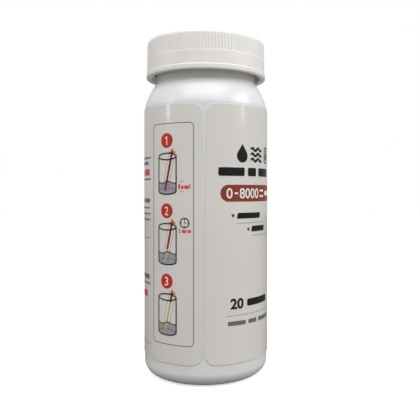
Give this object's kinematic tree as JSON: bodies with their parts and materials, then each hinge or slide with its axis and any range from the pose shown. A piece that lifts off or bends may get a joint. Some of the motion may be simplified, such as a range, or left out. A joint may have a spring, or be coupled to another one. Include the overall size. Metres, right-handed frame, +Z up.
{
  "type": "water test kit",
  "caption": "Round screw-cap bottle of dip-and-read water test strips, with ribbed cap, foam liner, wrap-around label and desiccant sachet.",
  "frame": {"origin": "centre of the bottle's standing ring, on the surface that it stands on", "axes": "+Z up along the bottle's axis, -Y towards the label's title panel, +X to the right of a person who reads it"},
  "size_m": [0.0398, 0.0398, 0.1052],
  "materials": {
    "bottle_plastic": "glossy white moulded polyethylene",
    "label_film": "satin white printed film",
    "cap_plastic": "satin white moulded polypropylene",
    "liner_foam": "matte white foam",
    "strip_laminate": "satin white laminate",
    "sachet_paper": "matte white paper"
  },
  "bodies": {
    "bottle": {"bottle": "bottle_plastic", "label": "label_film"},
    "cap_liner": {"cap_liner": "liner_foam"},
    "cap": {"cap": "cap_plastic"},
    "test_strip_01": {"test_strip_01": "strip_laminate"},
    "test_strip_02": {"test_strip_02": "strip_laminate"},
    "test_strip_03": {"test_strip_03": "strip_laminate"},
    "test_strip_04": {"test_strip_04": "strip_laminate"},
    "test_strip_05": {"test_strip_05": "strip_laminate"},
    "test_strip_06": {"test_strip_06": "strip_laminate"},
    "test_strip_07": {"test_strip_07": "strip_laminate"},
    "test_strip_08": {"test_strip_08": "strip_laminate"},
    "test_strip_09": {"test_strip_09": "strip_laminate"},
    "test_strip_10": {"test_strip_10": "strip_laminate"},
    "test_strip_11": {"test_strip_11": "strip_laminate"},
    "test_strip_12": {"test_strip_12": "strip_laminate"},
    "test_strip_13": {"test_strip_13": "strip_laminate"},
    "test_strip_14": {"test_strip_14": "strip_laminate"},
    "test_strip_15": {"test_strip_15": "strip_laminate"},
    "test_strip_16": {"test_strip_16": "strip_laminate"},
    "test_strip_17": {"test_strip_17": "strip_laminate"},
    "test_strip_18": {"test_strip_18": "strip_laminate"},
    "test_strip_19": {"test_strip_19": "strip_laminate"},
    "test_strip_20": {"test_strip_20": "strip_laminate"},
    "desiccant_sachet": {"desiccant_sachet": "sachet_paper"}
  },
  "joints": [
    {"name": "cap_lift", "type": "slide", "parent": "bottle", "child": "cap_liner", "axis": [0, 0, 1], "range_m": [0, 0.01]},
    {"name": "cap_turn", "type": "hinge", "parent": "cap_liner", "child": "cap", "pos_m": [0, 0, 0.0993], "axis": [0, 0, 1], "range_deg": [0, 900]},
    {"name": "test_strip_01_slide", "type": "slide", "parent": "bottle", "child": "test_strip_01", "axis": [0.0197, 0, 0.9998], "range_m": [0, 0.0125]},
    {"name": "test_strip_02_slide", "type": "slide", "parent": "bottle", "child": "test_strip_02", "axis": [0.026, 0, 0.9997], "range_m": [0, 0.0125]},
    {"name": "test_strip_03_slide", "type": "slide", "parent": "bottle", "child": "test_strip_03", "axis": [-0.0264, 0, 0.9997], "range_m": [0, 0.0125]},
    {"name": "test_strip_04_slide", "type": "slide", "parent": "bottle", "child": "test_strip_04", "axis": [-0.0192, 0, 0.9998], "range_m": [0, 0.0125]},
    {"name": "test_strip_05_slide", "type": "slide", "parent": "bottle", "child": "test_strip_05", "axis": [0.0314, 0, 0.9995], "range_m": [0, 0.0125]},
    {"name": "test_strip_06_slide", "type": "slide", "parent": "bottle", "child": "test_strip_06", "axis": [0.0111, 0, 0.9999], "range_m": [0, 0.0125]},
    {"name": "test_strip_07_slide", "type": "slide", "parent": "bottle", "child": "test_strip_07", "axis": [-0.0342, 0, 0.9994], "range_m": [0, 0.0125]},
    {"name": "test_strip_08_slide", "type": "slide", "parent": "bottle", "child": "test_strip_08", "axis": [-0.0023, 0, 1], "range_m": [0, 0.0125]},
    {"name": "test_strip_09_slide", "type": "slide", "parent": "bottle", "child": "test_strip_09", "axis": [0.0348, 0, 0.9994], "range_m": [0, 0.0125]},
    {"name": "test_strip_10_slide", "type": "slide", "parent": "bottle", "child": "test_strip_10", "axis": [-0.0067, 0, 1], "range_m": [0, 0.0125]},
    {"name": "test_strip_11_slide", "type": "slide", "parent": "bottle", "child": "test_strip_11", "axis": [-0.0331, 0, 0.9995], "range_m": [0, 0.0125]},
    {"name": "test_strip_12_slide", "type": "slide", "parent": "bottle", "child": "test_strip_12", "axis": [0.0152, 0, 0.9999], "range_m": [0, 0.0125]},
    {"name": "test_strip_13_slide", "type": "slide", "parent": "bottle", "child": "test_strip_13", "axis": [0.0292, 0, 0.9996], "range_m": [0, 0.0125]},
    {"name": "test_strip_14_slide", "type": "slide", "parent": "bottle", "child": "test_strip_14", "axis": [-0.0227, 0, 0.9997], "range_m": [0, 0.0125]},
    {"name": "test_strip_15_slide", "type": "slide", "parent": "bottle", "child": "test_strip_15", "axis": [-0.0233, 0, 0.9997], "range_m": [0, 0.0125]},
    {"name": "test_strip_16_slide", "type": "slide", "parent": "bottle", "child": "test_strip_16", "axis": [0.0287, 0, 0.9996], "range_m": [0, 0.0125]},
    {"name": "test_strip_17_slide", "type": "slide", "parent": "bottle", "child": "test_strip_17", "axis": [0.0159, 0, 0.9999], "range_m": [0, 0.0125]},
    {"name": "test_strip_18_slide", "type": "slide", "parent": "bottle", "child": "test_strip_18", "axis": [-0.0328, 0, 0.9995], "range_m": [0, 0.0125]},
    {"name": "test_strip_19_slide", "type": "slide", "parent": "bottle", "child": "test_strip_19", "axis": [-0.0075, 0, 1], "range_m": [0, 0.0125]},
    {"name": "test_strip_20_slide", "type": "slide", "parent": "bottle", "child": "test_strip_20", "axis": [0.0348, 0, 0.9994], "range_m": [0, 0.0125]},
    {"name": "sachet_slide", "type": "slide", "parent": "bottle", "child": "desiccant_sachet", "axis": [0, 0, 1], "range_m": [0, 0.045]}
  ],
  "couplings": [
    {"joint": "cap_lift", "follows": "cap_turn", "m_per_rad": 0.00063662}
  ]
}
